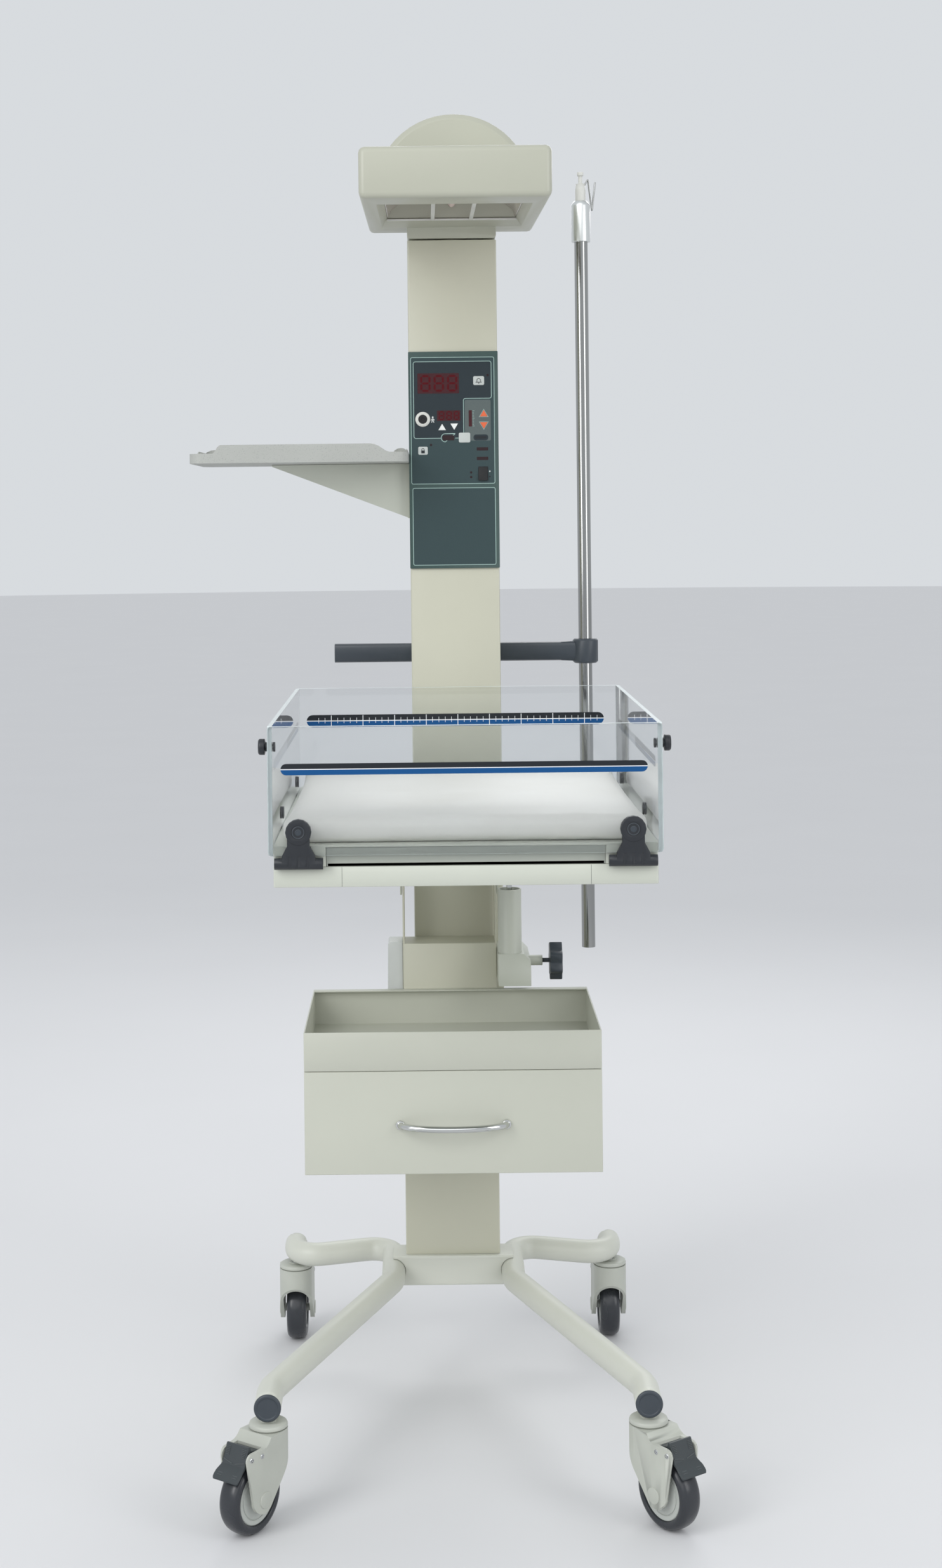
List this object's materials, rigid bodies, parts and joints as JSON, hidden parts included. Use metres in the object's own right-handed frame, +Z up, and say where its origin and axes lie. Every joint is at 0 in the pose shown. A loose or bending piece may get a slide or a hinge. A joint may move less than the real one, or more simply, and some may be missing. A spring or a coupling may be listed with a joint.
{
  "type": "infant radiant warmer",
  "caption": "Infant radiant warmer on castors, with a tilting clear-sided bassinet, a swivelling heater hood, a drawer unit, a shelf and an infusion pole.",
  "frame": {"origin": "middle of the footprint's bounding box, on the floor", "axes": "+Z up, the front and the bassinet's open side towards -Y, +X to the right as seen from the front"},
  "size_m": [0.744, 0.9434, 1.9956],
  "materials": {
    "acrylic": "clear",
    "chrome": "polished",
    "console_face": "dark printed face",
    "dark_plastic": "near black",
    "key_grey": "light grey",
    "key_orange": "orange",
    "key_white": "white",
    "mattress_cover": "white cover",
    "moulded_white": "speckled off-white",
    "painted_steel": "satin warm grey",
    "quartz_glass": "frosted",
    "reflector_metal": "bright",
    "slate_plastic": "dark slate",
    "switch_black": "black",
    "tray_grey": "satin grey",
    "tyre_rubber": "dark grey"
  },
  "bodies": {
    "stand": {"base_crossmember": "painted_steel", "leg_tube_left": "painted_steel", "leg_tube_right": "painted_steel", "tube_cap_left": "slate_plastic", "tube_cap_right": "slate_plastic", "lower_column": "painted_steel", "upper_column": "painted_steel", "mains_box": "moulded_white", "tilt_strut": "painted_steel", "drawer_case": "painted_steel", "instrument_shelf": "moulded_white", "shelf_bracket": "painted_steel", "accessory_rail": "slate_plastic", "infusion_pole": "chrome", "control_panel": "console_face"},
    "drawer": {"drawer": "painted_steel", "drawer_handle": "chrome"},
    "strut_rod": {"strut_rod": "chrome"},
    "clamp_knob": {"clamp_knob": "slate_plastic"},
    "pole_extension": {"pole_extension": "moulded_white"},
    "infusion_hook": {"infusion_hook": "chrome"},
    "hood": {"hood_shell": "painted_steel", "hood_drum": "painted_steel", "heater_reflector": "reflector_metal", "heater_tube": "quartz_glass", "heater_guard": "moulded_white"},
    "bassinet": {"bassinet_frame": "painted_steel", "mattress_deck": "painted_steel", "mattress": "mattress_cover", "rear_panel": "acrylic"},
    "cassette_tray": {"cassette_tray": "tray_grey"},
    "front_panel": {"front_panel": "acrylic", "front_hinge_left": "dark_plastic", "front_hinge_right": "dark_plastic"},
    "rocker_switch": {"rocker_switch": "switch_black"},
    "castor_front_left": {"castor_fork_front_left": "moulded_white"},
    "wheel_front_left": {"castor_wheel_front_left": "tyre_rubber"},
    "pedal_left": {"brake_pedal_left": "slate_plastic"},
    "castor_front_right": {"castor_fork_front_right": "moulded_white"},
    "wheel_front_right": {"castor_wheel_front_right": "tyre_rubber"},
    "pedal_right": {"brake_pedal_right": "slate_plastic"},
    "castor_rear_left": {"castor_fork_rear_left": "moulded_white"},
    "wheel_rear_left": {"castor_wheel_rear_left": "tyre_rubber"},
    "castor_rear_right": {"castor_fork_rear_right": "moulded_white"},
    "wheel_rear_right": {"castor_wheel_rear_right": "tyre_rubber"},
    "left_panel": {"left_panel": "acrylic", "left_hinge_front": "dark_plastic", "left_hinge_rear": "dark_plastic"},
    "left_latch": {"left_latch_knob": "dark_plastic"},
    "right_panel": {"right_panel": "acrylic", "right_hinge_front": "dark_plastic", "right_hinge_rear": "dark_plastic"},
    "right_latch": {"right_latch_knob": "dark_plastic"},
    "mute_key": {"mute_key": "key_grey"},
    "lock_key": {"lock_key": "key_grey"},
    "mode_key": {"mode_key": "key_grey"},
    "set_up_key": {"set_up_key": "key_white"},
    "set_down_key": {"set_down_key": "key_white"},
    "output_up_key": {"output_up_key": "key_orange"},
    "output_down_key": {"output_down_key": "key_orange"}
  },
  "joints": [
    {"name": "castor_swivel_front_left", "type": "hinge", "parent": "stand", "child": "castor_front_left", "pos_m": [-0.22597, -0.28325, 0], "axis": [0, 0, 1], "continuous": true},
    {"name": "wheel_spin_front_left", "type": "hinge", "parent": "castor_front_left", "child": "wheel_front_left", "pos_m": [-0.24948, -0.31561, 0.05], "axis": [0.809, -0.5878, 0], "continuous": true},
    {"name": "pedal_tilt_left", "type": "hinge", "parent": "castor_front_left", "child": "pedal_left", "pos_m": [-0.2536, -0.32127, 0.112], "axis": [0.809, -0.5878, 0], "range_deg": [0, 14]},
    {"name": "castor_swivel_front_right", "type": "hinge", "parent": "stand", "child": "castor_front_right", "pos_m": [0.29503, -0.28325, 0], "axis": [0, 0, 1], "continuous": true},
    {"name": "wheel_spin_front_right", "type": "hinge", "parent": "castor_front_right", "child": "wheel_front_right", "pos_m": [0.31854, -0.31561, 0.05], "axis": [0.809, 0.5878, 0], "continuous": true},
    {"name": "pedal_tilt_right", "type": "hinge", "parent": "castor_front_right", "child": "pedal_right", "pos_m": [0.32265, -0.32127, 0.112], "axis": [0.809, 0.5878, 0], "range_deg": [0, 14]},
    {"name": "castor_swivel_rear_left", "type": "hinge", "parent": "stand", "child": "castor_rear_left", "pos_m": [-0.22597, 0.38175, 0], "axis": [0, 0, 1], "continuous": true},
    {"name": "wheel_spin_rear_left", "type": "hinge", "parent": "castor_rear_left", "child": "wheel_rear_left", "pos_m": [-0.22597, 0.42175, 0.05], "axis": [1, 0, 0], "continuous": true},
    {"name": "castor_swivel_rear_right", "type": "hinge", "parent": "stand", "child": "castor_rear_right", "pos_m": [0.29503, 0.38175, 0], "axis": [0, 0, 1], "continuous": true},
    {"name": "wheel_spin_rear_right", "type": "hinge", "parent": "castor_rear_right", "child": "wheel_rear_right", "pos_m": [0.29503, 0.42175, 0.05], "axis": [1, 0, 0], "continuous": true},
    {"name": "drawer_slide", "type": "slide", "parent": "stand", "child": "drawer", "axis": [0, -1, 0], "range_m": [0, 0.24]},
    {"name": "bassinet_tilt", "type": "hinge", "parent": "stand", "child": "bassinet", "pos_m": [0.03453, 0.30375, 0.885], "axis": [1, 0, 0], "range_deg": [-12, 12]},
    {"name": "strut_slide", "type": "slide", "parent": "stand", "child": "strut_rod", "axis": [0, 0, 1], "range_m": [-0.0155, 0.0155]},
    {"name": "clamp_turn", "type": "hinge", "parent": "stand", "child": "clamp_knob", "pos_m": [0.19293, 0.23175, 0.6644], "axis": [1, 0, 0], "range_deg": [-360, 0]},
    {"name": "extension_slide", "type": "slide", "parent": "stand", "child": "pole_extension", "axis": [0, 0, 1], "range_m": [0, 0.45]},
    {"name": "hook_swivel", "type": "hinge", "parent": "pole_extension", "child": "infusion_hook", "pos_m": [0.27003, 0.43905, 1.932], "axis": [0, 0, 1], "continuous": true},
    {"name": "hood_swivel", "type": "hinge", "parent": "stand", "child": "hood", "pos_m": [0.05053, 0.38175, 1.8277], "axis": [0, 0, 1], "range_deg": [-90, 55]},
    {"name": "cassette_slide", "type": "slide", "parent": "bassinet", "child": "cassette_tray", "axis": [0, -1, 0], "range_m": [0, 0.3]},
    {"name": "front_panel_fold", "type": "hinge", "parent": "bassinet", "child": "front_panel", "pos_m": [0.05053, -0.46375, 0.9272], "axis": [1, 0, 0], "range_deg": [0, 170]},
    {"name": "left_panel_fold", "type": "hinge", "parent": "bassinet", "child": "left_panel", "pos_m": [-0.20657, 0.30375, 0.9272], "axis": [0, -1, 0], "range_deg": [0, 170]},
    {"name": "left_latch_turn", "type": "hinge", "parent": "left_panel", "child": "left_latch", "pos_m": [-0.20507, -0.43825, 1.0762], "axis": [1, 0, 0], "range_deg": [0, 90]},
    {"name": "right_panel_fold", "type": "hinge", "parent": "bassinet", "child": "right_panel", "pos_m": [0.30763, 0.30375, 0.9272], "axis": [0, 1, 0], "range_deg": [0, 170]},
    {"name": "right_latch_turn", "type": "hinge", "parent": "right_panel", "child": "right_latch", "pos_m": [0.30613, -0.43825, 1.0762], "axis": [1, 0, 0], "range_deg": [0, 90]},
    {"name": "mute_key_travel", "type": "slide", "parent": "stand", "child": "mute_key", "axis": [0, 1, 0], "range_m": [0, 0.0008], "stiffness_N_per_m": 300},
    {"name": "lock_key_travel", "type": "slide", "parent": "stand", "child": "lock_key", "axis": [0, 1, 0], "range_m": [0, 0.0008], "stiffness_N_per_m": 300},
    {"name": "mode_key_travel", "type": "slide", "parent": "stand", "child": "mode_key", "axis": [0, 1, 0], "range_m": [0, 0.0008], "stiffness_N_per_m": 300},
    {"name": "set_up_key_travel", "type": "slide", "parent": "stand", "child": "set_up_key", "axis": [0, 1, 0], "range_m": [0, 0.0008], "stiffness_N_per_m": 300},
    {"name": "set_down_key_travel", "type": "slide", "parent": "stand", "child": "set_down_key", "axis": [0, 1, 0], "range_m": [0, 0.0008], "stiffness_N_per_m": 300},
    {"name": "output_up_key_travel", "type": "slide", "parent": "stand", "child": "output_up_key", "axis": [0, 1, 0], "range_m": [0, 0.0008], "stiffness_N_per_m": 300},
    {"name": "output_down_key_travel", "type": "slide", "parent": "stand", "child": "output_down_key", "axis": [0, 1, 0], "range_m": [0, 0.0008], "stiffness_N_per_m": 300},
    {"name": "rocker_tilt", "type": "hinge", "parent": "stand", "child": "rocker_switch", "pos_m": [0.09793, 0.33245, 1.4432], "axis": [1, 0, 0], "range_deg": [0, 8]}
  ],
  "couplings": [
    {"joint": "strut_slide", "follows": "bassinet_tilt", "m_per_rad": -0.072}
  ]
}
